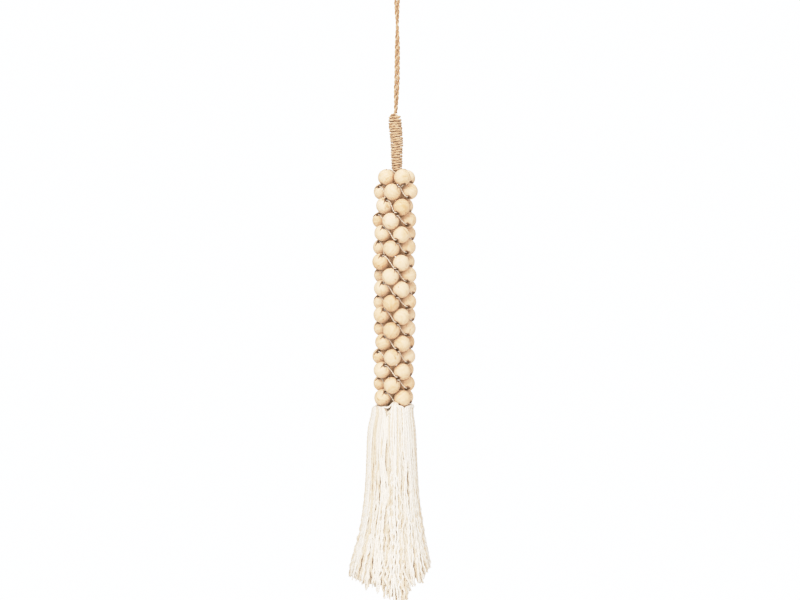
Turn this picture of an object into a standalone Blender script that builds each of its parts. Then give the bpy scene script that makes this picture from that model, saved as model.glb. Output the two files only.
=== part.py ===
"""A hanging tassel: a twisted cord loop, a wound neck, a tube of wooden beads strung row by row on cotton
thread, and four bundles of cotton yarn hung from the bottom row.

Metres, +Z up. The origin is the inside top of the loop, where a hook carries it, and the front faces -Y.
An azimuth is measured about the hanging line from the front towards +X.
"""

import math
import random

import bmesh
import bpy
from mathutils import Matrix, Vector

# Driving sizes
CLEARANCE = 0.00035  # air between pieces that touch
LOOP_HEIGHT = 0.160  # from the neck's top to the inside top of the loop
CORD = 0.0030  # diameter over the cord's two plies
CORD_WAIST = 0.72  # the cord's thickness between its plies, as a share of CORD
CORD_TURN = 0.0114  # length of one full turn of the plies
CORD_SIDES = 6
BIGHT_RADIUS = 0.0070  # of the cord's centreline over the top of the loop
WINDINGS = 21  # turns of twine round the neck
WINDING_DEPTH = 0.0009  # from a winding's crest to the valley beside it
WINDING_SLOPE = 9.0  # degrees from level
BEAD = 0.0190  # diameter of the largest beads
BEAD_SPREAD = 0.0004  # how much smaller the smallest is
BEAD_FACETS = 1.020  # a faceted bead's corners stand out this much, so that its faces come to the round
MOUTH = (0.67, 0.66, 0.34)  # sideways, up and out from a bead's middle to where the thread leaves it
THREAD = 0.0015
THREAD_BOW = 0.0044  # how far the thread runs straight out of a bead before it bends to the next
STRANDS = 176  # yarns over the whole tassel, before those at the edges of the bundles are left out
STRAND = 0.0025  # across a yarn's three corners where it leaves the head
STRAND_TIP = 0.0031  # and at its tip, where its plies open
STRAND_STEPS = 5
STRAND_SWAY = 0.0028  # how far a yarn waves to each side at its tip
TASSEL_LENGTH = 0.2120  # from the base of the bundles' heads to the longest tip
SHORTER_OUTSIDE = 0.13  # how much shorter the outermost yarns are than the middle ones, as a share
UNEVEN_ENDS = 0.010  # how much shorter than its neighbours a yarn may be
HEADS_BASE = -0.5000  # the height of the base of the bundles' heads, and so of the tassel's top

# The loop's two legs by height above the neck: half the distance between their centrelines, how far the
# pair has turned about its middle in degrees, and the sideways place of that middle.
LOOP_LEGS = (
    # height, half_apart, turned, middle_x
    (0.000, 0.00170, 80.0, -0.0016),
    (0.012, 0.00170, 58.0, -0.0010),
    (0.027, 0.00190, 14.0, -0.0005),
    (0.038, 0.00240, 0.0, 0.0000),
    (0.053, 0.00200, -2.0, 0.0002),
    (0.072, 0.00170, -20.0, 0.0004),
    (0.100, 0.00170, -88.0, 0.0003),
    (0.121, 0.00175, -160.0, 0.0000),
    (0.134, 0.00330, -178.0, 0.0000),
    (0.146, 0.00610, -180.0, 0.0000),
    (0.1545, 0.00700, -180.0, 0.0000),
)

# The neck by depth below its top: its radius over the windings, and its middle.
NECK = (
    # depth, radius, middle_x
    (0.0000, 0.0043, -0.0019),
    (0.0030, 0.0056, -0.0021),
    (0.0055, 0.0066, -0.0023),
    (0.0105, 0.0069, -0.0022),
    (0.0260, 0.0067, -0.0009),
    (0.0360, 0.0066, -0.0003),
    (0.0420, 0.0062, -0.0004),
    (0.0560, 0.0058, -0.0002),
    (0.0680, 0.0052, -0.0001),
)

# The middle of each bead in millimetres, row by row from the top: the front bead, then the right, the back and
# the left. The rows nest in each other's hollows as the threads let them, wide and narrow ones by turns.
BEADS = (
    ((6.0, -14.8, -233.7), (11.2, 6.3, -233.2), (-6.5, 14.7, -232.7), (-12.1, -6.0, -233.1)),
    ((-5.3, -16.0, -250.1), (14.2, -5.5, -248.7), (2.5, 18.9, -249.5), (-17.0, 4.9, -248.5)),
    ((5.4, -16.0, -267.2), (9.0, 6.7, -265.1), (-9.4, 13.8, -264.1), (-14.2, -7.1, -265.0)),
    ((-7.1, -18.0, -283.0), (12.5, -4.1, -281.0), (0.6, 19.5, -279.7), (-18.7, 7.2, -280.8)),
    ((4.9, -16.0, -298.3), (12.0, 8.1, -296.3), (-7.3, 11.2, -296.2), (-16.3, -6.7, -296.0)),
    ((-6.5, -14.5, -314.0), (11.8, -3.7, -311.8), (1.3, 18.2, -312.7), (-17.9, 4.6, -311.8)),
    ((4.7, -16.4, -330.2), (10.7, 6.9, -328.2), (-10.0, 16.1, -328.4), (-18.6, -8.4, -328.6)),
    ((-7.5, -18.0, -345.4), (12.7, -4.8, -343.7), (2.4, 20.0, -343.0), (-16.8, 5.0, -343.3)),
    ((4.8, -15.3, -360.3), (12.9, 8.0, -358.4), (-7.9, 13.7, -358.3), (-16.8, -7.2, -358.6)),
    ((-6.6, -19.4, -375.6), (12.5, -3.7, -374.0), (2.3, 18.7, -374.1), (-17.5, 4.8, -374.0)),
    ((5.2, -15.8, -390.7), (11.7, 9.9, -388.9), (-9.8, 14.8, -388.9), (-17.3, -8.4, -388.5)),
    ((-6.2, -18.5, -406.3), (11.8, -3.3, -404.2), (1.1, 19.6, -404.3), (-17.1, 4.1, -403.5)),
    ((5.5, -14.0, -421.3), (10.6, 8.6, -419.6), (-8.9, 11.2, -420.4), (-15.3, -7.2, -419.4)),
    ((-5.3, -18.6, -436.8), (11.4, -2.3, -435.8), (0.7, 19.2, -436.3), (-18.5, 3.0, -435.7)),
    ((5.8, -14.8, -452.7), (9.6, 9.8, -451.0), (-10.2, 12.2, -450.9), (-17.0, -10.6, -451.0)),
    ((-5.8, -17.3, -468.2), (10.8, -2.0, -466.5), (-0.1, 18.1, -466.5), (-17.3, 2.7, -466.3)),
    ((6.0, -12.4, -482.9), (9.1, 9.2, -482.5), (-9.8, 13.9, -482.9), (-16.3, -8.8, -482.2)),
)

# The tassel by depth below the heads' base: its radius, and its middle.
TASSEL = (
    # depth, radius, middle_x
    (0.0000, 0.0232, -0.0048),
    (0.0200, 0.0262, -0.0056),
    (0.0700, 0.0280, -0.0057),
    (0.1010, 0.0305, -0.0057),
    (0.1370, 0.0368, -0.0056),
    (0.1730, 0.0455, -0.0070),
    (0.2120, 0.0540, -0.0074),
)

# The four bundles: the azimuths between which each lies, and that of its top.
BUNDLES = (
    # name, starts, ends, top
    ("tassel_front", -22.0, 36.0, -10.5),
    ("tassel_right", 36.0, 126.0, 79.5),
    ("tassel_back", 126.0, 216.0, 169.5),
    ("tassel_left", 216.0, 338.0, 259.5),
)
TOP_RADIUS = 0.0170  # from the bead tube's axis to the top of each bundle

# A bundle's head: height above its base, and its size as a share of the base's outline.
HEAD = (
    # height, share
    (0.0000, 1.00),
    (0.0026, 0.96),
    (0.0047, 0.86),
    (0.0059, 0.62),
    (0.0066, 0.24),
    (0.0127, 0.08),
)

NECK_TOP = -LOOP_HEIGHT
NECK_LENGTH = NECK[-1][0]


def clear_scene():
    for obj in list(bpy.data.objects):
        bpy.data.objects.remove(obj, do_unlink=True)


def material(name, colour, roughness):
    made = bpy.data.materials.new(name)
    made.use_nodes = True
    shader = made.node_tree.nodes["Principled BSDF"]
    shader.inputs["Base Color"].default_value = (*colour, 1.0)
    shader.inputs["Roughness"].default_value = roughness
    shader.inputs["Metallic"].default_value = 0.0
    return made


def add_object(name, bm, surface):
    bmesh.ops.recalc_face_normals(bm, faces=bm.faces)
    mesh = bpy.data.meshes.new(name)
    bm.to_mesh(mesh)
    bm.free()
    mesh.materials.append(surface)
    obj = bpy.data.objects.new(name, mesh)
    bpy.context.scene.collection.objects.link(obj)
    return obj


def from_table(rows, place):
    """The other columns' values at this place in a table's first, on a smooth curve through its rows."""
    last = len(rows) - 1
    place = min(max(place, rows[0][0]), rows[last][0])
    i = max(k for k in range(last) if rows[k][0] <= place)
    before, here = rows[max(i - 1, 0)], rows[i]
    there, after = rows[i + 1], rows[min(i + 2, last)]
    span = there[0] - here[0]
    t = (place - here[0]) / span
    values = []
    for k in range(1, len(here)):
        slope_here = (there[k] - before[k]) / (there[0] - before[0]) * span
        slope_there = (after[k] - here[k]) / (after[0] - here[0]) * span
        values.append(
            (2 * t**3 - 3 * t**2 + 1) * here[k]
            + (t**3 - 2 * t**2 + t) * slope_here
            + (3 * t**2 - 2 * t**3) * there[k]
            + (t**3 - t**2) * slope_there
        )
    return values


def outward(azimuth):
    return Vector((math.sin(azimuth), -math.cos(azimuth), 0.0))


def sideways(azimuth):
    """The level direction in which the azimuth grows."""
    return Vector((math.cos(azimuth), math.sin(azimuth), 0.0))


def skin(bm, rings, capped=True):
    """Faces between rings of as many vertices each, and over both ends."""
    for near, far in zip(rings, rings[1:]):
        for k in range(len(near)):
            after = (k + 1) % len(near)
            bm.faces.new((near[k], near[after], far[after], far[k]))
    if capped:
        bm.faces.new(list(reversed(rings[0])))
        bm.faces.new(rings[-1])


def loop_leg(height, side):
    half_apart, turned, middle_x = from_table(LOOP_LEGS, height)
    turned = math.radians(turned)
    offset = Vector((math.cos(turned), math.sin(turned), 0.0)) * half_apart * side
    return Vector((middle_x, 0.0, NECK_TOP + height)) + offset


def loop_centreline():
    """Closely spaced points up one leg, over the bight and down the other."""
    steps = 240
    top = LOOP_LEGS[-1][0]
    heights = [CLEARANCE + (top - CLEARANCE) * k / steps for k in range(steps + 1)]
    up = [loop_leg(height, 1) for height in heights]
    down = [loop_leg(height, -1) for height in reversed(heights)]
    middle = (up[-1] + down[0]) / 2
    arm = up[-1] - middle
    over = []
    for k in range(1, 40):
        angle = math.pi * k / 40
        over.append(middle + arm * math.cos(angle) + Vector((0, 0, BIGHT_RADIUS)) * math.sin(angle))
    return up + over + down


def evenly(points, spacing):
    """The same line with its points about this far apart."""
    lengths = [0.0]
    for a, b in zip(points, points[1:]):
        lengths.append(lengths[-1] + (b - a).length)
    count = round(lengths[-1] / spacing)
    found = []
    i = 0
    for k in range(count + 1):
        at = lengths[-1] * k / count
        while i < len(points) - 2 and lengths[i + 1] < at:
            i += 1
        share = (at - lengths[i]) / (lengths[i + 1] - lengths[i])
        found.append(points[i].lerp(points[i + 1], min(share, 1.0)))
    return found


def hanging_loop(surface):
    """The cord's section is an oval, as of two plies side by side, and turns along its length."""
    steps_in_turn = 6
    spacing = CORD_TURN / steps_in_turn
    points = evenly(loop_centreline(), spacing)
    bm = bmesh.new()
    rings = []
    across = Vector((1.0, 0.0, 0.0))
    for i, point in enumerate(points):
        tangent = (points[min(i + 1, len(points) - 1)] - points[max(i - 1, 0)]).normalized()
        across = (across - tangent * across.dot(tangent)).normalized()
        along = tangent.cross(across)
        twist = math.tau * i / steps_in_turn
        ring = []
        for k in range(CORD_SIDES):
            angle = math.tau * k / CORD_SIDES
            bulge = (1 + CORD_WAIST + (1 - CORD_WAIST) * math.cos(2 * angle)) / 2
            reach = CORD / 2 * bulge
            turned = angle + twist
            ring.append(bm.verts.new(point + (across * math.cos(turned) + along * math.sin(turned)) * reach))
        rings.append(ring)
    skin(bm, rings)
    return add_object("hanging_loop", bm, surface)


def neck_wrap(surface):
    """A ridge for each winding, every ring sloped as the twine lies. Both ends are level."""
    sides = 12
    rings_in_all = 2 * WINDINGS
    level_over = 0.004
    bm = bmesh.new()
    rings = []
    for i in range(rings_in_all + 1):
        depth = NECK_LENGTH * i / rings_in_all
        radius, middle_x = from_table(NECK, depth)
        if i % 2 == 0:
            radius -= WINDING_DEPTH
        to_end = min(depth, NECK_LENGTH - depth)
        slope = math.tan(math.radians(WINDING_SLOPE)) * min(to_end / level_over, 1.0)
        ring = []
        for k in range(sides):
            azimuth = math.tau * k / sides
            rise = slope * radius * math.sin(azimuth)
            centre = Vector((middle_x, 0.0, NECK_TOP - depth + rise))
            ring.append(bm.verts.new(centre + outward(azimuth) * radius))
        rings.append(ring)
    skin(bm, rings)
    return add_object("neck_wrap", bm, surface)


def bead_rows():
    """For each row: its middle, and each bead's middle with its azimuth about the row's."""
    rows = []
    for places in BEADS:
        beads = [Vector(place) / 1000 for place in places]
        middle = sum(beads, Vector()) / len(beads)
        azimuths = [math.atan2(bead.x - middle.x, middle.y - bead.y) for bead in beads]
        rows.append((middle, list(zip(beads, azimuths))))
    return rows


def add_bead(bm, centre, azimuth, bead_radius):
    """A bead, and its faces where the thread comes out at its upper right and goes in at its lower left."""
    out, side, up = outward(azimuth), sideways(azimuth), Vector((0, 0, 1))
    turned = Matrix((side, -out, up)).transposed().to_4x4()
    place = Matrix.Translation(centre) @ turned
    made = bmesh.ops.create_icosphere(bm, subdivisions=2, radius=bead_radius * BEAD_FACETS, matrix=place)
    faces = {face for vert in made["verts"] for face in vert.link_faces}
    mouths = []
    for sign in (1, -1):
        towards = (side * MOUTH[0] + up * MOUTH[1]) * sign + out * MOUTH[2]
        mouths.append(max(faces, key=lambda face: (face.calc_center_median() - centre).dot(towards)))
    return mouths


def mouth_ring(bm, face):
    """The three corners of a thread's end on a bead, once the bead's face is inset round them."""
    middle = face.calc_center_median()
    width = min((vert.co - middle).length for vert in face.verts)
    bmesh.ops.inset_individual(bm, faces=[face], thickness=(width - THREAD / 2) / 2, use_even_offset=True)
    corners = list(face.verts)
    normal = face.normal.copy()
    bm.faces.remove(face)
    return corners, normal


def add_thread(bm, upper, lower):
    """The thread from one bead's upper mouth down to the next bead's lower one, in the valley between."""
    steps = 5
    start, start_normal = mouth_ring(bm, upper)
    end, end_normal = mouth_ring(bm, lower)
    a = sum((vert.co for vert in start), Vector()) / 3
    d = sum((vert.co for vert in end), Vector()) / 3
    b, c = a + start_normal * THREAD_BOW, d + end_normal * THREAD_BOW
    rings = [start]
    arms = [vert.co - a for vert in start]
    facing = start_normal
    for i in range(1, steps):
        t = i / steps
        point = a * (1 - t) ** 3 + b * 3 * t * (1 - t) ** 2 + c * 3 * t**2 * (1 - t) + d * t**3
        tangent = ((b - a) * (1 - t) ** 2 + (c - b) * 2 * t * (1 - t) + (d - c) * t**2).normalized()
        arms = [facing.rotation_difference(tangent) @ arm for arm in arms]
        facing = tangent
        rings.append([bm.verts.new(point + arm) for arm in arms])
    # The far corners run the other way round, and begin with the one that needs the least turn.
    arms = [facing.rotation_difference(-end_normal) @ arm for arm in arms]
    turns = [[end[(shift - k) % 3] for k in range(3)] for shift in range(3)]
    rings.append(min(turns, key=lambda turn: sum((vert.co - d - arm).length for vert, arm in zip(turn, arms))))
    skin(bm, rings, capped=False)


def bead_row(number, row, chance, surface):
    _, beads = row
    bm = bmesh.new()
    mouths = []
    for centre, azimuth in beads:
        bead_radius = (BEAD - BEAD_SPREAD * chance.random()) / 2
        mouths.append(add_bead(bm, centre, azimuth, bead_radius))
    for here, there in zip(mouths, mouths[1:] + mouths[:1]):
        add_thread(bm, here[0], there[1])
    return add_object(f"bead_row_{number:02d}", bm, surface)


def head_outline(starts, ends, radius):
    """The base of a bundle's head: a slice of the tassel's round, blunt at the middle and parted from others."""
    steps = 8
    blunt, parting = 0.0035, 0.0004
    middle = (starts + ends) / 2
    points = [outward(middle) * blunt]
    for k in range(steps + 1):
        azimuth = starts + (ends - starts) * k / steps
        points.append(outward(azimuth) * radius)
    return [point + outward(middle) * parting / math.sin((ends - starts) / 2) for point in points]


def add_head(bm, base_middle, outline, top):
    rings = []
    for height, share in HEAD:
        ring = []
        for point in outline:
            spread = (base_middle + point - top) * share
            ring.append(bm.verts.new(Vector((top.x + spread.x, top.y + spread.y, HEADS_BASE + height))))
        rings.append(ring)
    skin(bm, rings)


def add_strand(bm, root, phase, reach, tip_turn):
    """A three-sided yarn from inside the head down to its tip, carried outwards as the tassel widens."""
    top_radius, _ = from_table(TASSEL, 0.0)
    root_depth = -0.0015
    rings = []
    for i in range(STRAND_STEPS + 1):
        t = i / STRAND_STEPS
        depth = root_depth + (reach - root_depth) * t
        radius, middle_x = from_table(TASSEL, max(depth, 0.0))
        sway = STRAND_SWAY * t**1.5
        width = STRAND + (STRAND_TIP - STRAND) * t
        wave = Vector((math.sin(9 * t + phase), math.cos(7 * t + 1.7 * phase), 0.0)) * sway
        centre = Vector((middle_x, 0.0, HEADS_BASE - depth)) + root * (radius / top_radius) + wave
        ring = []
        for k in range(3):
            angle = tip_turn + math.tau * k / 3
            corner = Vector((math.cos(angle), math.sin(angle), 0.0)) * width / 2
            ring.append(bm.verts.new(centre + corner))
        rings.append(ring)
    skin(bm, rings)


def bundle_roots(radius, outline):
    """The yarns' places in one bundle, spread evenly over the tassel's round and kept inside the outline."""
    golden = math.pi * (3 - math.sqrt(5))
    edge = STRAND / 2 + 0.0002
    for i in range(STRANDS):
        azimuth = i * golden
        root = outward(azimuth) * (radius * math.sqrt((i + 0.5) / STRANDS))
        inside = True
        for a, b in zip(outline, outline[1:] + outline[:1]):
            side = (b - a).normalized()
            away = side.x * (root.y - a.y) - side.y * (root.x - a.x)
            inside = inside and away > edge
        if inside:
            yield i, root


def tassel_bundle(name, starts, ends, top, last_row, surface):
    row_middle, _ = last_row
    starts, ends, top = math.radians(starts), math.radians(ends), math.radians(top)
    radius, middle_x = from_table(TASSEL, 0.0)
    base_middle = Vector((middle_x, 0.0, 0.0))
    outline = head_outline(starts, ends, radius)
    top_place = Vector((row_middle.x, 0.0, 0.0)) + outward(top) * TOP_RADIUS

    head_bm = bmesh.new()
    add_head(head_bm, base_middle, outline, top_place)
    head = add_object(name, head_bm, surface)

    strands_bm = bmesh.new()
    for i, root in bundle_roots(radius, outline):
        chance = random.Random(i)
        share = (root.length / radius) ** 2
        reach = TASSEL_LENGTH * (1.0 - SHORTER_OUTSIDE * share) - UNEVEN_ENDS * chance.random()
        phase = 3.0 * root.x / radius + 0.6 * chance.random()
        add_strand(strands_bm, root, phase, reach, math.tau * chance.random())
    strands = add_object(f"{name}_strands", strands_bm, surface)
    strands.hide_render = True
    strands.display_type = "WIRE"

    union = head.modifiers.new("strands", "BOOLEAN")
    union.operation = "UNION"
    union.solver = "EXACT"
    union.object = strands
    return head


def main():
    clear_scene()
    jute = material("jute", (0.55, 0.38, 0.22), 0.9)
    wood = material("natural_wood", (0.83, 0.66, 0.46), 0.5)
    yarn = material("cotton_yarn", (0.88, 0.83, 0.75), 0.95)
    hanging_loop(jute)
    neck_wrap(jute)
    rows = bead_rows()
    chance = random.Random(17)
    for number, row in enumerate(rows, start=1):
        bead_row(number, row, chance, wood)
    for name, starts, ends, top in BUNDLES:
        tassel_bundle(name, starts, ends, top, rows[-1], yarn)


main()
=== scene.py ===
import math
import random

import bpy
import numpy as np
from mathutils import Matrix, Vector


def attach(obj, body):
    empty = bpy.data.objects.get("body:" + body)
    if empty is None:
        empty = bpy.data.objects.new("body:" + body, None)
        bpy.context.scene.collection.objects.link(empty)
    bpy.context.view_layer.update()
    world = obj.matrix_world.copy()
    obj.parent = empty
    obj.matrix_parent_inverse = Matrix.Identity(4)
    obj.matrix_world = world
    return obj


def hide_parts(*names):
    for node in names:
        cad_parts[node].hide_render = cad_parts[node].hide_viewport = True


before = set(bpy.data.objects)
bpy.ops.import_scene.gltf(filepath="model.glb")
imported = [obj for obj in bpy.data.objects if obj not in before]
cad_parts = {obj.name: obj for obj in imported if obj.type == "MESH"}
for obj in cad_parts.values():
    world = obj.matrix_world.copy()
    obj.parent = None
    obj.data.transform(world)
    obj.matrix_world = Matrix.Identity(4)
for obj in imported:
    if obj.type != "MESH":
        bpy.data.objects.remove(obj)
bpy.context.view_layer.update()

# The view: a long lens, level and straight on to the front, a little below the middle of the beads.
# The pixel at the middle of the frame looks at the hanging's own line, and the picture is 0.91 m wide.
view_data = bpy.data.cameras.new("front_view")
view_data.sensor_width = 36.0
view_data.lens = 85.0
view_data.clip_end = 50.0
view = bpy.data.objects.new("front_view", view_data)
view.location = (0.0034, -2.146, -0.3719)
view.rotation_euler = (math.pi / 2, 0.0, 0.0)
bpy.context.scene.collection.objects.link(view)
bpy.context.scene.camera = view
shown = bpy.context.scene.view_settings
shown.view_transform = "Standard"
shown.use_curve_mapping = True
tones = shown.curve_mapping
tones.clip_max_x = tones.clip_max_y = 2.0
bright = tones.curves[3]
bright.points[1].location = (1.4, 1.0)
for level in ((0.3, 0.3), (0.6, 0.63), (0.8, 0.785), (1.0, 0.880), (1.2, 0.950)):
    bright.points.new(*level)
for channel, low, high in (
    (0, (0.20, 0.245), (0.60, 0.625)),
    (1, (0.12, 0.136), (0.50, 0.512)),
    (2, (0.08, 0.076), (0.40, 0.400)),
):
    tones.curves[channel].points.new(*low)
    tones.curves[channel].points.new(*high)
tones.update()

# The hanging loop: one length of two-ply jute cord, doubled over a hook, with its legs wound loosely
# about each other. Both ends are bound into the neck.
loop_height = 0.160
neck_top = -loop_height
seat = 0.00035
loop_legs = (
    # height, half_apart, turned, middle_x
    (0.000, 0.00142, 80.0, -0.0016),
    (0.012, 0.00142, 58.0, -0.0010),
    (0.027, 0.00144, 14.0, -0.0005),
    (0.038, 0.00150, 0.0, 0.0000),
    (0.053, 0.00145, -2.0, 0.0002),
    (0.072, 0.00142, -20.0, 0.0004),
    (0.100, 0.00142, -88.0, 0.0003),
    (0.121, 0.00142, -160.0, 0.0000),
    (0.131, 0.00190, -176.0, 0.0000),
    (0.140, 0.00390, -180.0, 0.0000),
    (0.148, 0.00620, -180.0, 0.0000),
    (0.1545, 0.00700, -180.0, 0.0000),
)
bight_radius = 0.0070
cord_turn = 0.0114


def from_table(rows, place):
    """The other columns' values at this place in a table's first, on a smooth curve through its rows."""
    last = len(rows) - 1
    place = min(max(place, rows[0][0]), rows[last][0])
    i = max(k for k in range(last) if rows[k][0] <= place)
    before, here = rows[max(i - 1, 0)], rows[i]
    there, after = rows[i + 1], rows[min(i + 2, last)]
    span = there[0] - here[0]
    t = (place - here[0]) / span
    values = []
    for k in range(1, len(here)):
        slope_here = (there[k] - before[k]) / (there[0] - before[0]) * span
        slope_there = (after[k] - here[k]) / (after[0] - here[0]) * span
        values.append(
            (2 * t**3 - 3 * t**2 + 1) * here[k]
            + (t**3 - 2 * t**2 + t) * slope_here
            + (3 * t**2 - 2 * t**3) * there[k]
            + (t**3 - t**2) * slope_there
        )
    return values


def loop_leg(height, side):
    half_apart, turned, middle_x = from_table(loop_legs, height)
    turned = math.radians(turned)
    offset = Vector((math.cos(turned), math.sin(turned), 0.0)) * half_apart * side
    return Vector((middle_x, 0.0, neck_top + height)) + offset


def loop_route():
    """Closely spaced points up one leg, over the hook and down the other."""
    top, steps = loop_legs[-1][0], 240
    heights = [seat + (top - seat) * k / steps for k in range(steps + 1)]
    up = [loop_leg(height, 1) for height in heights]
    down = [loop_leg(height, -1) for height in reversed(heights)]
    middle = (up[-1] + down[0]) / 2
    arm = up[-1] - middle
    over = []
    for k in range(1, 40):
        angle = math.pi * k / 40
        over.append(middle + arm * math.cos(angle) + Vector((0, 0, bight_radius)) * math.sin(angle))
    return up + over + down


def evenly(points, spacing):
    """The same line with its points about this far apart, as an array, and how far along it each lies."""
    points = np.array([tuple(point) for point in points])
    steps = np.linalg.norm(np.diff(points, axis=0), axis=1)
    along = np.concatenate([[0.0], np.cumsum(steps)])
    count = max(2, round(along[-1] / spacing) + 1)
    at = np.linspace(0.0, along[-1], count)
    return np.stack([np.interp(at, along, points[:, k]) for k in range(3)], axis=1), at


def carried_axes(points):
    """Two directions across a line at each of its points, carried along it without needless turning."""
    tangents = np.gradient(points, axis=0)
    tangents /= np.linalg.norm(tangents, axis=1)[:, None]
    first = np.cross(tangents[0], (0.0, 1.0, 0.0))
    if np.linalg.norm(first) < 0.1:
        first = np.cross(tangents[0], (1.0, 0.0, 0.0))
    across = [first / np.linalg.norm(first)]
    for tangent in tangents[1:]:
        arm = across[-1] - tangent * (across[-1] @ tangent)
        across.append(arm / np.linalg.norm(arm))
    across = np.array(across)
    return across, np.cross(tangents, across)


def tube_rings(points, across, beside, radius, sides):
    """Rings of points round a line. The radius is one number, one for each point, or one for each corner."""
    angles = 2 * math.pi * np.arange(sides) / sides
    radius = np.asarray(radius, float)
    radius = (radius if radius.ndim == 2 else radius.reshape(-1, 1)) * np.ones((len(points), sides))
    arms = across[:, None] * np.cos(angles)[None, :, None] + beside[:, None] * np.sin(angles)[None, :, None]
    return points[:, None] + arms * radius[:, :, None]


def plied(points, along, ply_radius, ply_offset, turn, sides, start=0.0, plies=2, axes=None):
    """The plies of a twisted cord along a line, each as its rings of points."""
    across, beside = carried_axes(points) if axes is None else axes
    made = []
    for ply in range(plies):
        phase = start + 2 * math.pi * (along / turn + ply / plies)
        out = across * np.cos(phase)[:, None] + beside * np.sin(phase)[:, None]
        over = np.cross(np.cross(across, beside), out)
        made.append(tube_rings(points + out * np.reshape(ply_offset, (-1, 1)), out, over, ply_radius, sides))
    return made


def mesh_of_tubes(name, tubes, given_tones=None):
    """One piece of many tubes, closed at both ends. Its UV map runs once round each tube and, in metres,
    along it, and its attribute tone holds one value for each tube, by chance unless given."""
    chance = random.Random(name)
    verts, starts, corners, uvs, tones = [], [], [], [], []
    base = loop_count = 0
    for number, rings in enumerate(tubes):
        count, sides = rings.shape[:2]
        middles = rings.mean(axis=1)
        travelled = np.concatenate([[0.0], np.cumsum(np.linalg.norm(np.diff(middles, axis=0), axis=1))])
        i, k = np.meshgrid(np.arange(count - 1), np.arange(sides), indexing="ij")
        i, k = i.ravel(), k.ravel()
        after = (k + 1) % sides
        ring, next_ring = i * sides, (i + 1) * sides
        quads = np.stack([ring + k, ring + after, next_ring + after, next_ring + k], axis=1)
        round_it = np.stack([k, k + 1, k + 1, k], axis=1) / sides
        along_it = np.stack([travelled[i], travelled[i], travelled[i + 1], travelled[i + 1]], axis=1)
        corners.append((quads + base).ravel())
        uvs.append(np.stack([round_it.ravel(), along_it.ravel()], axis=1))
        starts.append(loop_count + 4 * np.arange(len(quads)))
        loop_count += 4 * len(quads)
        for cap, at in ((np.arange(sides)[::-1], 0), (np.arange(sides), count - 1)):
            corners.append(base + at * sides + cap)
            uvs.append(np.stack([cap / sides, np.full(sides, travelled[at])], axis=1))
            starts.append(np.array([loop_count]))
            loop_count += sides
        verts.append(rings.reshape(-1, 3))
        tones.append(np.full(count * sides, given_tones[number] if given_tones else chance.random()))
        base += count * sides
    verts, corners, starts = np.concatenate(verts), np.concatenate(corners), np.concatenate(starts)
    mesh = bpy.data.meshes.new(name)
    mesh.vertices.add(len(verts))
    mesh.vertices.foreach_set("co", verts.astype(np.float32).ravel())
    mesh.loops.add(len(corners))
    mesh.loops.foreach_set("vertex_index", corners.astype(np.int32))
    mesh.polygons.add(len(starts))
    mesh.polygons.foreach_set("loop_start", starts.astype(np.int32))
    mesh.update(calc_edges=True)
    mesh.uv_layers.new(name="lay").data.foreach_set("uv", np.concatenate(uvs).astype(np.float32).ravel())
    tone = mesh.attributes.new("tone", "FLOAT", "POINT")
    tone.data.foreach_set("value", np.concatenate(tones).astype(np.float32))
    mesh.polygons.foreach_set("use_smooth", np.ones(len(starts), bool))
    mesh.validate()
    piece = bpy.data.objects.new(name, mesh)
    bpy.context.scene.collection.objects.link(piece)
    return piece


def group_socket(group, name, kind, way, value=None):
    made = group.interface.new_socket(name=name, in_out=way, socket_type=kind)
    if value is not None:
        made.default_value = value


def worked(tree, operation, *values):
    """A Math node, its inputs linked or set."""
    node = tree.nodes.new("ShaderNodeMath")
    node.operation = operation
    for socket, value in zip(node.inputs, values):
        if isinstance(value, (int, float)):
            socket.default_value = value
        else:
            tree.links.new(value, socket)
    return node.outputs[0]


def spun_fibres_group():
    """Fibres drawn out along a yarn and laid round it: their relief, and where they are paler or darker."""
    group = bpy.data.node_groups.new("spun fibres", "ShaderNodeTree")
    group_socket(group, "Lay", "NodeSocketVector", "INPUT")
    group_socket(group, "Turns", "NodeSocketFloat", "INPUT", 60.0)
    group_socket(group, "Stretch", "NodeSocketFloat", "INPUT", 120.0)
    group_socket(group, "Fineness", "NodeSocketFloat", "INPUT", 5.0)
    group_socket(group, "Relief", "NodeSocketFloat", "OUTPUT")
    group_socket(group, "Shade", "NodeSocketFloat", "OUTPUT")
    given = group.nodes.new("NodeGroupInput")
    result = group.nodes.new("NodeGroupOutput")
    split = group.nodes.new("ShaderNodeSeparateXYZ")
    group.links.new(given.outputs["Lay"], split.inputs[0])
    laid = worked(group, "MULTIPLY_ADD", split.outputs["Y"], given.outputs["Turns"], split.outputs["X"])
    angle = worked(group, "MULTIPLY", laid, 2 * math.pi)
    place = group.nodes.new("ShaderNodeCombineXYZ")
    group.links.new(worked(group, "COSINE", angle), place.inputs["X"])
    group.links.new(worked(group, "SINE", angle), place.inputs["Y"])
    stretched = worked(group, "MULTIPLY", split.outputs["Y"], given.outputs["Stretch"])
    group.links.new(stretched, place.inputs["Z"])
    fine = group.nodes.new("ShaderNodeTexNoise")
    fine.inputs["Detail"].default_value = 3.0
    fine.inputs["Roughness"].default_value = 0.6
    group.links.new(place.outputs[0], fine.inputs["Vector"])
    group.links.new(given.outputs["Fineness"], fine.inputs["Scale"])
    broad = group.nodes.new("ShaderNodeTexNoise")
    broad.inputs["Scale"].default_value = 1.1
    broad.inputs["Detail"].default_value = 2.0
    group.links.new(place.outputs[0], broad.inputs["Vector"])
    group.links.new(fine.outputs["Fac"], result.inputs["Relief"])
    broad_share = worked(group, "MULTIPLY", broad.outputs["Fac"], 0.45)
    mixed = worked(group, "MULTIPLY_ADD", fine.outputs["Fac"], 0.55, broad_share)
    group.links.new(mixed, result.inputs["Shade"])
    return group


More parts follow.
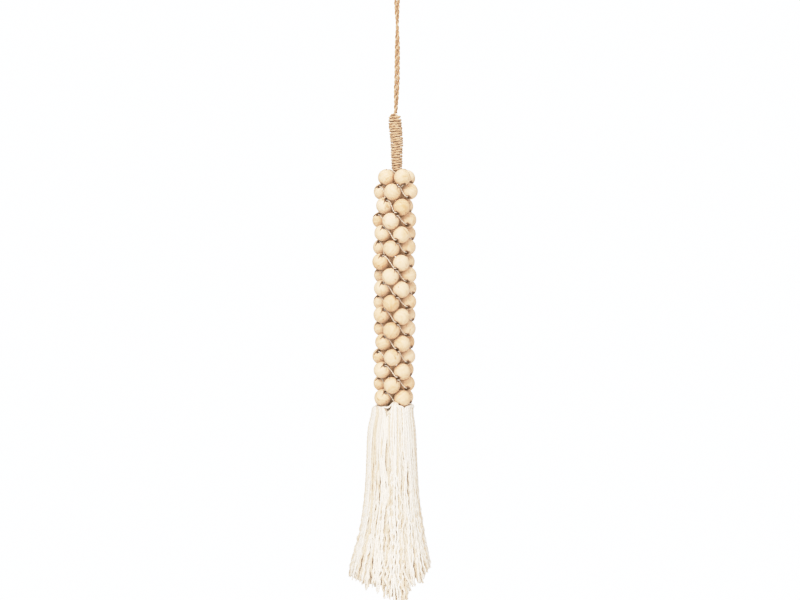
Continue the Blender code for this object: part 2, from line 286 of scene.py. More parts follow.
def fibre_material(name, dark, middle, pale, roughness, turns, stretch, fineness, bump, tone_share, sheen):
    """A matt yarn: its colours run from dark to pale over the fibres, and each ply has its own tone."""
    made = bpy.data.materials.new(name)
    made.use_nodes = True
    tree = made.node_tree
    shader = tree.nodes["Principled BSDF"]
    shader.inputs["Roughness"].default_value = roughness
    shader.inputs["Specular IOR Level"].default_value = 0.2
    shader.inputs["Sheen Weight"].default_value = sheen
    shader.inputs["Sheen Roughness"].default_value = 0.5
    lay = tree.nodes.new("ShaderNodeUVMap")
    lay.uv_map = "lay"
    fibres = tree.nodes.new("ShaderNodeGroup")
    fibres.node_tree = bpy.data.node_groups["spun fibres"]
    fibres.inputs["Turns"].default_value = turns
    fibres.inputs["Stretch"].default_value = stretch
    fibres.inputs["Fineness"].default_value = fineness
    tree.links.new(lay.outputs["UV"], fibres.inputs["Lay"])
    tone = tree.nodes.new("ShaderNodeAttribute")
    tone.attribute_name = "tone"
    own = worked(tree, "SUBTRACT", tone.outputs["Fac"], 0.5)
    toned = worked(tree, "MULTIPLY_ADD", own, tone_share, fibres.outputs["Shade"])
    colours = tree.nodes.new("ShaderNodeValToRGB")
    colours.color_ramp.elements[0].position = 0.25
    colours.color_ramp.elements[0].color = (*dark, 1.0)
    colours.color_ramp.elements[1].position = 0.75
    colours.color_ramp.elements[1].color = (*pale, 1.0)
    colours.color_ramp.elements.new(0.5).color = (*middle, 1.0)
    tree.links.new(toned, colours.inputs["Fac"])
    tree.links.new(colours.outputs["Color"], shader.inputs["Base Color"])
    relief = tree.nodes.new("ShaderNodeBump")
    relief.inputs["Strength"].default_value = 1.0
    relief.inputs["Distance"].default_value = bump
    tree.links.new(fibres.outputs["Relief"], relief.inputs["Height"])
    tree.links.new(relief.outputs["Normal"], shader.inputs["Normal"])
    return made


spun_fibres_group()
jute = fibre_material(
    "jute",
    dark=(0.335, 0.195, 0.108),
    middle=(0.515, 0.357, 0.236),
    pale=(0.67, 0.523, 0.40),
    roughness=0.85,
    turns=90.0,
    stretch=260.0,
    fineness=3.4,
    bump=0.0002,
    tone_share=0.25,
    sheen=0.15,
)
route, route_along = evenly(loop_route(), 0.0009)
loop_tubes = plied(route, route_along, 0.00110, 0.00076, cord_turn, 12)
# One ply is toned darker than the other: painted shade, for the dark lines in the twist's grooves.
hanging_loop = mesh_of_tubes("hanging_loop_cord", loop_tubes, [-0.25, 0.62])
hanging_loop.data.materials.append(jute)
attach(hanging_loop, "root")
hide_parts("hanging_loop")

# The neck: the same jute cord wound tightly round the loop's two ends, one layer of uneven turns, with its
# own starting end folded over at the top left and tucked under.
neck_shape = (
    # depth, radius, middle_x
    (0.0000, 0.0043, -0.0019),
    (0.0030, 0.0056, -0.0021),
    (0.0055, 0.0066, -0.0023),
    (0.0105, 0.0069, -0.0022),
    (0.0260, 0.0067, -0.0009),
    (0.0360, 0.0066, -0.0003),
    (0.0420, 0.0062, -0.0004),
    (0.0560, 0.0058, -0.0002),
    (0.0680, 0.0052, -0.0001),
)
neck_length = neck_shape[-1][0]
windings = 21
winding_sink = 0.00052
neck_chance = np.random.default_rng(11)


def around(azimuth):
    """The level direction at an azimuth, measured from the front towards +X."""
    return Vector((math.sin(azimuth), -math.cos(azimuth), 0.0))


def winding_route():
    """The wound cord's middle line: each turn has its own pitch, slope and tightness."""
    steps = 40
    pitches = 1 + 0.13 * neck_chance.standard_normal(windings + 1)
    edges = np.concatenate([[0.0], np.cumsum(pitches)])
    first, last = 0.0021, neck_length - 0.0016
    edges = first + edges / edges[-1] * (last - first)
    slopes = 0.07 * neck_chance.standard_normal(windings + 2)
    tight = 0.00016 * neck_chance.standard_normal(windings + 2)
    points = []
    for i in range(windings * steps + 1):
        turn = i / steps
        azimuth = math.radians(-60.0) - 2 * math.pi * turn
        depth = float(np.interp(turn, np.arange(len(edges)), edges))
        wobble = float(np.interp(turn, np.arange(len(slopes)) - 0.5, slopes))
        radius, middle_x = from_table(neck_shape, depth)
        radius += float(np.interp(turn, np.arange(len(tight)) - 0.5, tight)) - winding_sink
        ends = min(turn, windings - turn, 1.0)
        rise = wobble * radius * math.sin(azimuth + 3.0 * wobble) * ends
        points.append(Vector((middle_x, 0.0, neck_top - depth + rise)) + around(azimuth) * radius)
    return points


def smooth_line(stops, spacing):
    """A smooth line through a few stops, evenly sampled."""
    stops = [Vector(stop) for stop in stops]
    fine = []
    for i in range(len(stops) - 1):
        p0, p1 = stops[max(i - 1, 0)], stops[i]
        p2, p3 = stops[i + 1], stops[min(i + 2, len(stops) - 1)]
        for k in range(12):
            t = k / 12
            steady = 2 * p1 + (p2 - p0) * t
            square = (2 * p0 - 5 * p1 + 4 * p2 - p3) * t**2
            cube = (3 * p1 - p0 - 3 * p2 + p3) * t**3
            fine.append(0.5 * (steady + square + cube))
    fine.append(stops[-1])
    return evenly(fine, spacing)


wound, wound_along = evenly(winding_route(), 0.00095)
fold, fold_along = smooth_line(
    (
        (0.0006, -0.0030, neck_top - 0.0085),
        (0.0005, -0.0046, neck_top - 0.0052),
        (-0.0009, -0.0046, neck_top - 0.0022),
        (-0.0034, -0.0036, neck_top - 0.0007),
        (-0.0058, -0.0024, neck_top - 0.0026),
        (-0.0071, -0.0010, neck_top - 0.0058),
        (-0.0062, 0.0004, neck_top - 0.0090),
    ),
    0.0009,
)
core_heights = np.linspace(0.0012, neck_length - 0.0012, 24)
core_line = np.array([(from_table(neck_shape, depth)[1], 0.0, neck_top - depth) for depth in core_heights])
core_radii = np.array([from_table(neck_shape, depth)[0] - 0.0023 for depth in core_heights])
level = (np.tile((1.0, 0.0, 0.0), (24, 1)), np.tile((0.0, -1.0, 0.0), (24, 1)))
neck_tubes = plied(wound, wound_along, 0.00094, 0.00060, 0.0121, 8)
neck_tubes += plied(fold, fold_along, 0.00080, 0.00062, 0.0098, 8)
neck_tubes.append(tube_rings(core_line, level[0], level[1], core_radii, 16))
neck = mesh_of_tubes("neck_winding", neck_tubes)
neck.data.materials.append(jute)
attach(neck, "root")
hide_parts("neck_wrap")

# The beads: 68 turned balls of a pale plain wood, sanded but not varnished, four to a row. Each is drilled
# through along a slant. The rows nest in each other's hollows, wide and narrow ones by turns, and each bead
# stands where its row's solid has a ball.
bead_across = 0.0193
bead_spread = 0.0003
beads_in_row = 4
bore_radius = 0.0024
bore_offset = 0.0012
row_count = 17


def beside_azimuth(azimuth):
    """The level direction in which an azimuth grows."""
    return Vector((math.cos(azimuth), math.sin(azimuth), 0.0))


def ball_middles(solid):
    """The middles of a row's four balls: the front, right, back and left one. Each is fitted to the corners
    on its round, and corners off the round, such as the thread's, drop out as the fit tightens."""
    corners = np.array([tuple(vert.co) for vert in solid.data.vertices])
    x, y = corners[:, 0], corners[:, 1]
    middles = corners[[y.argmin(), x.argmax(), y.argmax(), x.argmin()]]
    for _ in range(12):
        nearest = np.linalg.norm(corners[:, None] - middles, axis=2).argmin(axis=1)
        middles = np.array([corners[nearest == k].mean(axis=0) for k in range(beads_in_row)])
    for tolerance in (0.0020, 0.0010, 0.0005, 0.0002, 0.0001, 0.00005):
        apart = np.linalg.norm(corners[:, None] - middles, axis=2)
        nearest = apart.argmin(axis=1)
        for k in range(beads_in_row):
            own, radii = corners[nearest == k], apart[nearest == k, k]
            own = own[np.abs(radii - np.median(radii)) < tolerance]
            origin = own.mean(axis=0)
            own = own - origin
            terms = np.column_stack((2 * own, np.ones(len(own))))
            fitted = np.linalg.lstsq(terms, (own**2).sum(axis=1), rcond=None)[0]
            middles[k] = origin + fitted[:3]
    return middles


def strung_beads():
    """For each row from the top: its middle, and each bead's centre, azimuth about that middle and radius."""
    chance = random.Random(17)
    rows = []
    for number in range(1, row_count + 1):
        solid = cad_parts[f"bead_row_{number:02d}"]
        centres = [Vector(middle) for middle in ball_middles(solid)]
        middle = sum(centres, Vector()) / beads_in_row
        beads = []
        for centre in centres:
            azimuth = math.atan2(centre.x - middle.x, middle.y - centre.y)
            beads.append((centre, azimuth, (bead_across - bead_spread * chance.random()) / 2))
        rows.append((middle, beads))
    return rows


def drilled_bead():
    """One bead, drilled along Z a little to the +X side: a ball cut flat at both mouths, bridged between
    them, with its rims eased."""
    bpy.ops.object.select_all(action="DESELECT")
    bpy.ops.mesh.primitive_uv_sphere_add(segments=32, ring_count=20, radius=bead_across / 2)
    bead = bpy.context.object
    mouth = math.sqrt((bead_across / 2) ** 2 - bore_radius**2)
    tilt = math.asin(bore_offset / mouth)
    ways = [Vector((math.sin(tilt), 0, end * math.cos(tilt))) for end in (1, -1)]
    bpy.ops.object.mode_set(mode="EDIT")
    for way in ways:
        bpy.ops.mesh.select_all(action="SELECT")
        bpy.ops.mesh.bisect(plane_co=way * mouth, plane_no=way, clear_outer=True)
    for step in ("bridge", "bevel"):
        bpy.ops.mesh.select_mode(type="EDGE")
        bpy.ops.mesh.select_all(action="DESELECT")
        bpy.ops.object.mode_set(mode="OBJECT")
        for edge in bead.data.edges:
            ends = [bead.data.vertices[v].co for v in edge.vertices]
            edge.select = any(all(abs(end.dot(way) - mouth) < 1e-6 for end in ends) for way in ways)
        bpy.ops.object.mode_set(mode="EDIT")
        if step == "bridge":
            bpy.ops.mesh.bridge_edge_loops()
        else:
            bpy.ops.mesh.bevel(offset=0.00045, segments=2, affect="EDGES")
    bpy.ops.mesh.select_all(action="SELECT")
    bpy.ops.mesh.normals_make_consistent(inside=False)
    bpy.ops.object.mode_set(mode="OBJECT")
    bpy.ops.object.shade_smooth()
    return bead


def turned_grain_group():
    """The grain of a small turned ball: growth rings cut across, fine pores along them, a few flecks, and the
    tawny patches of heartwood."""
    group = bpy.data.node_groups.new("turned grain", "ShaderNodeTree")
    group_socket(group, "Place", "NodeSocketVector", "INPUT")
    group_socket(group, "Rings", "NodeSocketFloat", "OUTPUT")
    group_socket(group, "Pores", "NodeSocketFloat", "OUTPUT")
    group_socket(group, "Flecks", "NodeSocketFloat", "OUTPUT")
    group_socket(group, "Patches", "NodeSocketFloat", "OUTPUT")
    given = group.nodes.new("NodeGroupInput")
    result = group.nodes.new("NodeGroupOutput")
    rings = group.nodes.new("ShaderNodeTexWave")
    rings.wave_type = "RINGS"
    rings.rings_direction = "Y"
    rings.inputs["Scale"].default_value = 130.0
    rings.inputs["Distortion"].default_value = 2.2
    rings.inputs["Detail"].default_value = 2.0
    rings.inputs["Detail Scale"].default_value = 0.7
    group.links.new(given.outputs["Place"], rings.inputs["Vector"])
    drawn = group.nodes.new("ShaderNodeMapping")
    drawn.inputs["Scale"].default_value = (1.0, 0.12, 1.0)
    group.links.new(given.outputs["Place"], drawn.inputs["Vector"])
    pores = group.nodes.new("ShaderNodeTexNoise")
    pores.inputs["Scale"].default_value = 1100.0
    pores.inputs["Detail"].default_value = 3.0
    group.links.new(drawn.outputs[0], pores.inputs["Vector"])
    flecks = group.nodes.new("ShaderNodeTexNoise")
    flecks.inputs["Scale"].default_value = 240.0
    flecks.inputs["Detail"].default_value = 1.0
    group.links.new(drawn.outputs[0], flecks.inputs["Vector"])
    few = worked(group, "MULTIPLY", worked(group, "SUBTRACT", flecks.outputs["Fac"], 0.64), 9.0)
    patches = group.nodes.new("ShaderNodeTexNoise")
    patches.inputs["Scale"].default_value = 95.0
    patches.inputs["Detail"].default_value = 2.0
    group.links.new(given.outputs["Place"], patches.inputs["Vector"])
    broad = worked(group, "MULTIPLY", worked(group, "SUBTRACT", patches.outputs["Fac"], 0.52), 5.0)
    broad = worked(group, "MAXIMUM", broad, 0.0)
    group.links.new(worked(group, "MINIMUM", broad, 1.0), result.inputs["Patches"])
    group.links.new(rings.outputs["Fac"], result.inputs["Rings"])
    group.links.new(pores.outputs["Fac"], result.inputs["Pores"])
    few = worked(group, "MAXIMUM", few, 0.0)
    group.links.new(worked(group, "MINIMUM", few, 1.0), result.inputs["Flecks"])
    return group


def pale_wood():
    """Bare sanded wood: creamy to tawny from bead to bead, with faint rings, and painted shade, a dark brown,
    on the bore walls.
    """
    made = bpy.data.materials.new("pale_wood")
    made.use_nodes = True
    tree = made.node_tree
    shader = tree.nodes["Principled BSDF"]
    shader.inputs["Specular IOR Level"].default_value = 0.2
    place = tree.nodes.new("ShaderNodeAttribute")
    place.attribute_name = "grain"
    tone = tree.nodes.new("ShaderNodeAttribute")
    tone.attribute_name = "tone"
    grain = tree.nodes.new("ShaderNodeGroup")
    grain.node_tree = turned_grain_group()
    tree.links.new(place.outputs["Vector"], grain.inputs["Place"])
    toned = worked(tree, "MULTIPLY_ADD", tone.outputs["Fac"], 0.50, -0.05)
    shade = worked(tree, "MULTIPLY_ADD", grain.outputs["Rings"], 0.18, toned)
    shade = worked(tree, "MULTIPLY_ADD", grain.outputs["Pores"], 0.36, shade)
    shade = worked(tree, "MULTIPLY_ADD", grain.outputs["Patches"], 0.30, shade)
    colours = tree.nodes.new("ShaderNodeValToRGB")
    colours.color_ramp.elements[0].position = 0.0
    colours.color_ramp.elements[0].color = (0.765, 0.592, 0.448, 1.0)
    colours.color_ramp.elements[1].position = 1.0
    colours.color_ramp.elements[1].color = (0.59, 0.374, 0.224, 1.0)
    colours.color_ramp.elements.new(0.45).color = (0.704, 0.52, 0.375, 1.0)
    tree.links.new(shade, colours.inputs["Fac"])
    flecked = tree.nodes.new("ShaderNodeMix")
    flecked.data_type = "RGBA"
    tree.links.new(colours.outputs["Color"], flecked.inputs[6])
    flecked.inputs[7].default_value = (0.38, 0.21, 0.10, 1.0)
    tree.links.new(worked(tree, "MULTIPLY", grain.outputs["Flecks"], 0.55), flecked.inputs[0])
    # The bore walls are painted dark brown: painted shade for the shadow inside the holes.
    drilled = tree.nodes.new("ShaderNodeAttribute")
    drilled.attribute_name = "drilled"
    bore_shaded = tree.nodes.new("ShaderNodeMix")
    bore_shaded.data_type = "RGBA"
    tree.links.new(drilled.outputs["Fac"], bore_shaded.inputs[0])
    tree.links.new(flecked.outputs[2], bore_shaded.inputs[6])
    bore_shaded.inputs[7].default_value = (0.13, 0.06, 0.03, 1.0)
    tree.links.new(bore_shaded.outputs[2], shader.inputs["Base Color"])
    rough = worked(tree, "MULTIPLY_ADD", grain.outputs["Pores"], 0.25, 0.38)
    tree.links.new(rough, shader.inputs["Roughness"])
    relief = tree.nodes.new("ShaderNodeBump")
    relief.inputs["Strength"].default_value = 1.0
    relief.inputs["Distance"].default_value = 0.00005
    tree.links.new(grain.outputs["Pores"], relief.inputs["Height"])
    tree.links.new(relief.outputs["Normal"], shader.inputs["Normal"])
    return made


wood = pale_wood()
wood_chance = np.random.default_rng(29)
first_bead = drilled_bead()
first_points = np.array([tuple(vert.co) for vert in first_bead.data.vertices])
# The vertices on the bore wall, which the wood's material paints dark as painted shade.
bore_wall = np.hypot(first_points[:, 0] - bore_offset, first_points[:, 1]) < bore_radius + 0.0002
rows = strung_beads()
bores = []
for number, (_, beads) in enumerate(rows, start=1):
    copies, row_bores = [], []
    for centre, azimuth, size in beads:
        rise = math.radians(wood_chance.normal(44.0, 4.0))
        facing_in = wood_chance.normal(0.0, 0.05)
        if number == 1 and len(row_bores) != 1:
            rise, facing_in = math.radians(88.0), 0.36
        slant = beside_azimuth(azimuth) * math.cos(rise) + Vector((0, 0, math.sin(rise)))
        slant = (slant - around(azimuth) * facing_in).normalized()
        outward = around(azimuth) + beside_azimuth(azimuth) * wood_chance.normal(0.0, 0.3)
        outward = (outward - slant * outward.dot(slant)).normalized()
        turned = np.column_stack((outward, slant.cross(outward), slant))
        copy = bpy.data.objects.new(f"bead_{number}", first_bead.data.copy())
        bpy.context.scene.collection.objects.link(copy)
        scale = 2 * size / bead_across
        flatter = 1.0 - abs(wood_chance.normal(0.0, 0.012))
        shaped = first_points * (scale, scale, scale * flatter)
        grain_turn = np.array(Matrix.Rotation(wood_chance.uniform(0.0, 0.5), 3, "X"))
        grain_place = shaped @ grain_turn.T + wood_chance.uniform(-0.004, 0.004, 3) + (0, 0.1 * number, 0)
        grain = copy.data.attributes.new("grain", "FLOAT_VECTOR", "POINT")
        grain.data.foreach_set("vector", grain_place.astype(np.float32).ravel())
        tone = copy.data.attributes.new("tone", "FLOAT", "POINT")
        tone.data.foreach_set("value", np.full(len(shaped), wood_chance.beta(2.0, 2.6), np.float32))
        drilled = copy.data.attributes.new("drilled", "FLOAT", "POINT")
        drilled.data.foreach_set("value", bore_wall.astype(np.float32))
        placed = shaped @ turned.T + np.array(centre)
        copy.data.vertices.foreach_set("co", placed.astype(np.float32).ravel())
        copy.data.materials.clear()
        copies.append(copy)
        row_bores.append((np.array(centre), np.array(slant), np.array(outward) * bore_offset, size, azimuth))
    bores.append(row_bores)
    bpy.ops.object.select_all(action="DESELECT")
    for copy in copies:
        copy.select_set(True)
    bpy.context.view_layer.objects.active = copies[0]
    bpy.ops.object.join()
    row_piece = copies[0]
    row_piece.name = f"beads_row_{number:02d}"
    row_piece.data.name = row_piece.name
    row_piece.data.materials.append(wood)
    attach(row_piece, "root")
    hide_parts(f"bead_row_{number:02d}")
bpy.data.objects.remove(first_bead, do_unlink=True)

# The bead strings: off-white two-ply cotton. Each row's is a ring of its own, slanting down from one bead's
# upper mouth to the next one's lower mouth in the valley between them. The top row hangs from the neck's end.
string_radius = 0.00070
string_turn = 0.0062
string_slack = 0.000016


def string_stops(row, k):
    """A length of string from the middle of one bead's bore to that of the next: its stops, and which are
    held."""
    beads = bores[row]
    here, there = beads[k], beads[(k + 1) % beads_in_row]
    stops = [(here[0] + here[2] + here[1] * here[3] * t, True) for t in (0.0, 0.3, 0.6, 0.93)]
    if row == 0:
        under_neck = np.array((float(core_line[-1][0]), 0.0, neck_top - neck_length + 0.0004))
        stops.append((under_neck + np.array(around(here[4] + math.radians(45))) * 0.0046, True))
    stops += [(there[0] + there[2] - there[1] * there[3] * t, True) for t in (0.93, 0.6, 0.3, 0.0)]
    return stops


def pulled_taut(stops, balls, axis):
    """The string's line through its stops, drawn tight between the held ones and in towards the tube's
    axis, but kept off the beads."""
    points, held = [], []
    for (here, here_held), (there, there_held) in zip(stops, stops[1:]):
        in_bore = here_held and there_held and np.linalg.norm(there - here) < 0.0035
        pieces = max(1, round(np.linalg.norm(there - here) / 0.0009))
        for k in range(pieces):
            points.append(here + (there - here) * k / pieces)
            held.append(here_held and (k == 0 or in_bore))
    points.append(stops[-1][0])
    held.append(True)
    points, held = np.array(points), np.array(held)
    for _ in range(260):
        drawn = points.copy()
        drawn[1:-1] = points[1:-1] * 0.5 + (points[:-2] + points[2:]) * 0.25
        out = (drawn - axis) * (1.0, 1.0, 0.0)
        drawn -= out / np.linalg.norm(out, axis=1)[:, None] * string_slack
        for centre, radius in balls:
            away = drawn - centre
            length = np.linalg.norm(away, axis=1)[:, None]
            drawn += away / length * np.maximum(radius + string_radius - length, 0.0)
        points[~held] = drawn[~held]
    for _ in range(3):
        points[1:-1] = points[1:-1] * 0.5 + (points[:-2] + points[2:]) * 0.25
    return evenly(points, 0.00085)


string_chance = np.random.default_rng(41)
string_tubes = []
for row in range(len(bores)):
    near = [bead for beads in bores[max(row - 1, 0) : row + 2] for bead in beads]
    for k in range(beads_in_row):
        balls = [(bead[0], bead[3]) for bead in near]
        line, line_along = pulled_taut(string_stops(row, k), balls, np.array(rows[row][0]))
        start = string_chance.uniform(0, 2 * math.pi)
        string_tubes += plied(line, line_along, 0.00043, 0.00033, string_turn, 6, start)
cotton = fibre_material(
    "cotton",
    dark=(0.63, 0.51, 0.395),
    middle=(0.74, 0.658, 0.565),
    pale=(0.79, 0.735, 0.67),
    roughness=0.9,
    turns=70.0,
    stretch=200.0,
    fineness=3.0,
    bump=0.00003,
    tone_share=0.6,
    sheen=0.60,
)
strings = mesh_of_tubes("bead_strings", string_tubes, [0.45] * len(string_tubes))
strings.data.materials.append(cotton)
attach(strings, "root")

# The tassel: four bundles of soft white cotton yarn, each folded over the lowest row's string between two
# beads. They spread into one skirt, run straight at first, then hang crimped, and end unevenly, untrimmed.
tassel_base = -0.5000
skirt_shape = (
    # depth, radius, middle_x
    (0.000, 0.0232, -0.0048),
    (0.020, 0.0267, -0.0056),
    (0.070, 0.0289, -0.0055),
    (0.101, 0.0313, -0.0055),
    (0.137, 0.0368, -0.0056),
    (0.173, 0.0455, -0.0070),
    (0.212, 0.0540, -0.0074),
)
bundles = (
    # name, first, last, top, and how many yarns hang in each layer, outermost first
    ("front", -18.0, 36.0, 1.5, (25, 22, 16, 8)),
    ("right", 36.0, 126.0, 79.5, (40, 37, 24, 12)),
    ("back", 126.0, 216.0, 169.5, (40, 37, 24, 12)),
    ("left", 216.0, 342.0, 259.5, (54, 50, 32, 16)),
)
tip_heights = (
    # x, height of the lowest tips there
    (-0.0560, -0.686),
    (-0.0480, -0.688),
    (-0.0410, -0.688),
    (-0.0364, -0.698),
    (-0.0300, -0.694),
    (-0.0227, -0.696),
    (-0.0190, -0.705),
    (-0.0136, -0.706),
    (-0.0090, -0.704),
    (-0.0050, -0.712),
    (0.0010, -0.717),
    (0.0080, -0.714),
    (0.0114, -0.704),
    (0.0160, -0.693),
    (0.0307, -0.690),
    (0.0340, -0.681),
    (0.0400, -0.676),
)
fold_height = -0.4890
fold_radius = 0.0175
shoulder = (
    # height above the base, and how far out from the fold to the skirt's edge
    (0.0076, 0.30),
    (0.0071, 0.55),
    (0.0068, 0.78),
    (0.0046, 0.93),
)
parting = -13.5
parting_half = 9.0

# A bundle's four layers of yarn from the outside in: the yarn's radius at the top and how much wider it gets,
# the length over which it tapers, its tone, and how finely it is made. The outer ones' tips come open.
# The inner layers' lower tones are painted shade.
yarn_radius = (0.00112, 0.00118, 0.00150, 0.0022)
yarn_widening = (1.12, 1.30, 2.1, 2.7)
yarn_taper = (0.010, 0.010, 0.040, 0.070)
yarn_tone_and_shade = ((0.45, 0.90), (0.05, 0.45), (0.3, 0.5), (0.3, 0.5))
yarn_sides = (7, 5, 5, 5)
yarn_spacing = (0.0018, 0.0024, 0.0050, 0.0050)
opened_tip = 0.011  # the last stretch of a yarn, where its plies part
crimp_size = 0.00095  # the scale of the swing of its crimps
crossing_yarn = (
    (-0.0195, -0.0090, -0.4930),
    (-0.0175, -0.0155, -0.4934),
    (-0.0140, -0.0186, -0.4927),
    (-0.0110, -0.0198, -0.4930),
    (-0.0084, -0.0190, -0.4920),
    (-0.0058, -0.0160, -0.4895),
    (-0.0048, -0.0110, -0.4885),
)
lock_spacing = 0.24
yarn_chance = np.random.default_rng(7)


def yarn_line(first, last, top, place, layer):
    """One yarn from the inner side of its fold, over the string and down to its tip."""
    radius_lift = yarn_chance.normal(0.0, 0.00055)
    outside = layer == 0 or (layer == 1 and yarn_chance.random() < 0.5)
    way = 1.0 if outside else -1.0
    hump = (0.0040, 0.0030, 0.0022, 0.0014)[layer] * yarn_chance.uniform(0.9, 1.1)
    spread = math.radians(first + (last - first) * place)
    centred = 2 * place - 1
    top = math.radians(top)
    drift = yarn_chance.normal(0.0, 0.0025) if layer < 2 else 0.0
    uniform, normal = yarn_chance.uniform, yarn_chance.normal
    waves = [(uniform(0.040, 0.110), uniform(0, 2 * math.pi), normal(0.0, 0.0013)) for _ in range(2)]
    crimps = [(uniform(0.0080, 0.0135), uniform(0, 2 * math.pi), uniform(0.15, 0.7)) for _ in range(4)]
    curly = 1.7 if yarn_chance.random() < 0.25 else 1.0
    depths = np.linspace(0.0, 0.235, 262)
    radii, middles = np.array([from_table(skirt_shape, depth) for depth in depths]).T
    inner = np.interp(depths, (0.0, 0.06, 0.2), (0.0016, 0.0018, 0.0021)) * layer
    loosened = np.clip(depths / 0.10 - 0.35, 0.0, 1.0)
    across = drift * (depths / 0.2) ** 1.3
    eased_in = np.clip(depths / 0.05, 0.0, 1.0)
    for wavelength, phase, size in waves:
        across = across + size * np.sin(2 * math.pi * depths / wavelength + phase) * eased_in
    bends = []
    for wavelength, phase, size in crimps:
        swell = 1 + 0.5 * np.sin(2 * math.pi * depths / (wavelength * 4.3) + 2 * phase)
        wave = np.sin(2 * math.pi * depths / wavelength + phase)
        bends.append(crimp_size * curly * size * swell * loosened * wave)
    strays = 0.0040 * np.clip((depths - 0.15) / 0.06, 0.0, 1.2) ** 2 * (layer == 0 and crimps[0][1] < 0.6)
    radii = radii - 0.0011 - inner + radius_lift + bends[0] + bends[1] + strays
    lock = 2 * math.pi * spread / lock_spacing + 2.2 * math.sin(3.1 * spread)
    gathered = (0.75, 0.25, 0.0, 0.0)[layer] * np.clip(depths / 0.05 - 0.2, 0.0, 1.0)
    gathered = gathered * lock_spacing / (2 * math.pi) * math.sin(lock)
    azimuths = spread + gathered + (across + bends[2] + bends[3]) / radii
    hanging = np.stack(
        [middles + np.sin(azimuths) * radii, -np.cos(azimuths) * radii, tassel_base - depths], axis=1
    )
    folded_middle = rows[-1][0].x
    fold_azimuth = top + centred * 0.0026 / fold_radius
    arc = []
    for angle in np.linspace(-0.9, math.pi * 0.93, 12):
        at = fold_radius - way * hump * math.cos(angle)
        arc.append((folded_middle + math.sin(fold_azimuth) * at, -math.cos(fold_azimuth) * at,
                    fold_height - 0.0030 - 0.0022 * abs(math.sin(top)) + hump * math.sin(angle)))
    from_parting = abs((math.degrees(spread) - parting + 180.0) % 360.0 - 180.0)
    parted = max(0.0, 1 - from_parting / parting_half) * (0.0130, 0.0120, 0.0012, 0.0)[layer]
    edge, folded = hanging[0], np.array(arc[-1])
    lifted = 0.0018 * max(0.0, math.cos(spread - 0.50)) ** 5 - 0.0011 * math.sin(spread) ** 4
    for height, share in shoulder:
        level = tassel_base + (height + lifted - 0.0010 * layer) * (1 - 0.1 * abs(centred) ** 3) - parted
        arc.append((*(folded + (edge - folded) * share)[:2], level))
    keep = depths > 0.0012 + parted
    line = smooth_line([*arc, *map(tuple, hanging[keep][::6])], 0.0011)[0]
    tip_x = float(np.interp(-0.69, hanging[::-1, 2], hanging[::-1, 0]))
    tip = float(np.interp(tip_x, *np.array(tip_heights).T))
    tip += min(yarn_chance.exponential(0.0035), 0.016) if layer == 0 else yarn_chance.uniform(0.001, 0.018)
    line = line[line[:, 2] > tip]
    return evenly(line, yarn_spacing[layer])


def yarn_tubes(line, along, layer):
    """A soft two-ply yarn as one tube with two turning lobes, and its plies coming apart at the tip. The
    yarns nearer the middle are thicker and plain."""
    sides = yarn_sides[layer]
    left = along[-1] - along
    closing = 1 - 0.6 * np.clip(1 - left / yarn_taper[layer], 0.0, 1.0)
    full = yarn_radius[layer]
    widest = full * yarn_widening[layer]
    thick = np.interp(along, (0.0, 0.012, 0.018, 0.11, 0.20), (0.0009, 0.0009, full, full, widest)) * closing
    turn = yarn_chance.uniform(0.0095, 0.0125)
    start = yarn_chance.uniform(0, 2 * math.pi)
    across, beside = carried_axes(line)
    angles = 2 * math.pi * np.arange(sides) / sides
    phases = 2 * math.pi * along / turn + start
    lobes = 1 + 0.20 * np.cos(2 * (angles[None, :] - phases[:, None])) * (layer < 2)
    tubes = [tube_rings(line, across, beside, thick[:, None] * lobes, sides)]
    if layer < 2:
        near = left < opened_tip
        count = int(near.sum())
        if count > 3:
            tip_points, tip_left = line[near], left[near]
            for _ in range(3):
                way = yarn_chance.uniform(0, 2 * math.pi)
                reach = yarn_chance.uniform(0.0006, 0.0022)
                opened = (1 - tip_left / opened_tip) ** 1.6 * reach
                length = yarn_chance.uniform(0.7, 1.0)
                out = across[near] * math.cos(way) + beside[near] * math.sin(way)
                points = tip_points + out * opened[:, None]
                points = points[: max(4, round(count * length))]
                radius = 0.00052 * np.linspace(1.0, 0.45, len(points))
                shown = slice(len(points))
                tubes.append(tube_rings(points, across[near][shown], beside[near][shown], radius, 5))
    return tubes


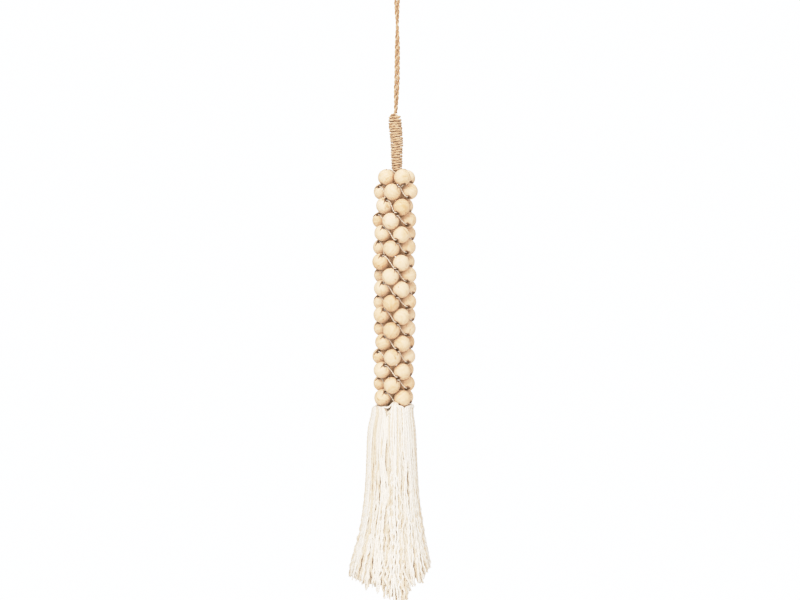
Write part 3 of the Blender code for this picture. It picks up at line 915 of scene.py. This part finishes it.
for name, first, last, top, layers in bundles:
    tubes, yarn_tones = [], []
    for layer, count in enumerate(layers):
        for k in range(count):
            place = (k + 0.5 + yarn_chance.uniform(-0.22, 0.22)) / count
            line, along = yarn_line(first, last, top, place, layer)
            tubes += yarn_tubes(line, along, layer)
            # Each yarn's tone: random within its layer, and lower for the inner layers as painted shade.
            tone = yarn_chance.uniform(*yarn_tone_and_shade[layer])
            # A quarter of the outer yarns are toned beige: painted shade, long streaks standing in for yarns
            # set back in shadow.
            if layer == 0 and yarn_chance.random() < 0.25:
                tone = yarn_chance.uniform(0.05, 0.30)
            yarn_tones += [tone] * (len(tubes) - len(yarn_tones))
    if name == "front":
        crossing, crossing_along = evenly(smooth_line(crossing_yarn, 0.0011)[0], 0.0009)
        across, beside = carried_axes(crossing)
        lobed = 0.00115 + 0.0001 * np.sin(crossing_along * 900.0)
        tubes.append(tube_rings(crossing, across, beside, lobed, 8))
        yarn_tones.append(0.75)
    bundle = mesh_of_tubes(f"yarns_{name}", tubes, yarn_tones)
    bundle.data.materials.append(cotton)
    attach(bundle, "root")
    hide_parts(f"tassel_{name}")

# The surroundings: a plain white floor well below the hanging, a white sky seen all round, and three broad
# soft lights, the strongest high on the left.
bpy.ops.object.select_all(action="DESELECT")
bpy.ops.mesh.primitive_circle_add(vertices=96, radius=4.0, fill_type="NGON", location=(0, 0, -1.35))
floor = bpy.context.object
floor.name = "floor"
paper = bpy.data.materials.new("white_floor")
paper.use_nodes = True
paper.node_tree.nodes["Principled BSDF"].inputs["Base Color"].default_value = (0.92, 0.92, 0.92, 1.0)
paper.node_tree.nodes["Principled BSDF"].inputs["Roughness"].default_value = 1.0
floor.data.materials.append(paper)
sky = bpy.data.worlds.new("white_sky")
bpy.context.scene.world = sky
sky.use_nodes = True
sky_tree = sky.node_tree
sky_light = sky_tree.nodes["Background"]
sky_light.inputs["Color"].default_value = (1.0, 1.0, 1.0, 1.0)
ray = sky_tree.nodes.new("ShaderNodeLightPath")
seen = worked(sky_tree, "MULTIPLY_ADD", ray.outputs["Is Camera Ray"], 0.7, 0.7)
sky_tree.links.new(seen, sky_light.inputs["Strength"])
for name, place, size, power, colour in (
    ("key", (-0.9, -2.1, 1.5), 1.4, 68.0, (1.0, 0.985, 0.96)),
    ("front", (0.9, -2.8, -0.2), 1.6, 26.0, (1.0, 0.99, 0.975)),
    ("top", (0.2, 0.3, 1.4), 1.2, 10.0, (1.0, 1.0, 1.0)),
):
    bpy.ops.object.light_add(type="AREA", location=place)
    lamp = bpy.context.object
    lamp.name = name
    lamp.data.size = size
    lamp.data.energy = power
    lamp.data.color = colour
    lamp.rotation_euler = (Vector((0, 0, -0.38)) - Vector(place)).to_track_quat("-Z", "Y").to_euler()
